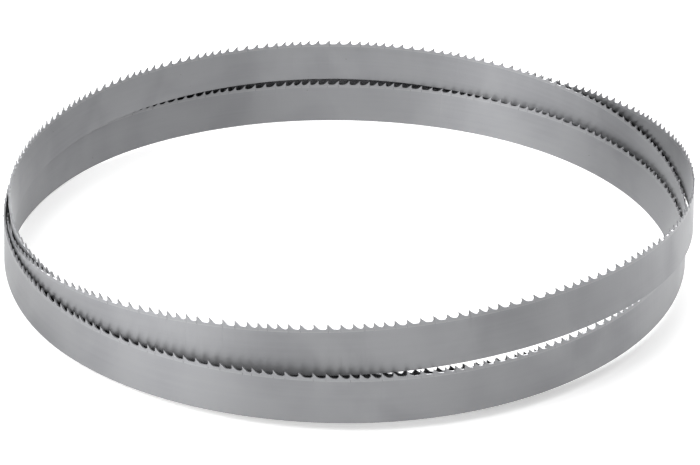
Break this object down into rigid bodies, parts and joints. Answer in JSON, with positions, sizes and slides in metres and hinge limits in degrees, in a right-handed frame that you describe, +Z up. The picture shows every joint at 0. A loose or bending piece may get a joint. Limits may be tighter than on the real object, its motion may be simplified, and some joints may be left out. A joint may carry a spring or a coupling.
{
  "type": "band saw blade",
  "caption": "Coiled metal-cutting band saw blade: one thin welded steel band in overlapping turns, standing on its plain back edge, with variable-pitch hook teeth along the upper edge.",
  "frame": {"origin": "middle of the coil's base, on the surface that the coil stands on", "axes": "+Z up, across the band from its plain back edge to its teeth; -Y is the front, the side that the picture shows nearest"},
  "size_m": [0.5049, 0.5315, 0.0846],
  "materials": {
    "blade_steel": "satin, rolled grey steel with ground tooth edges"
  },
  "bodies": {
    "root": {"saw_blade": "blade_steel"}
  },
  "joints": []
}
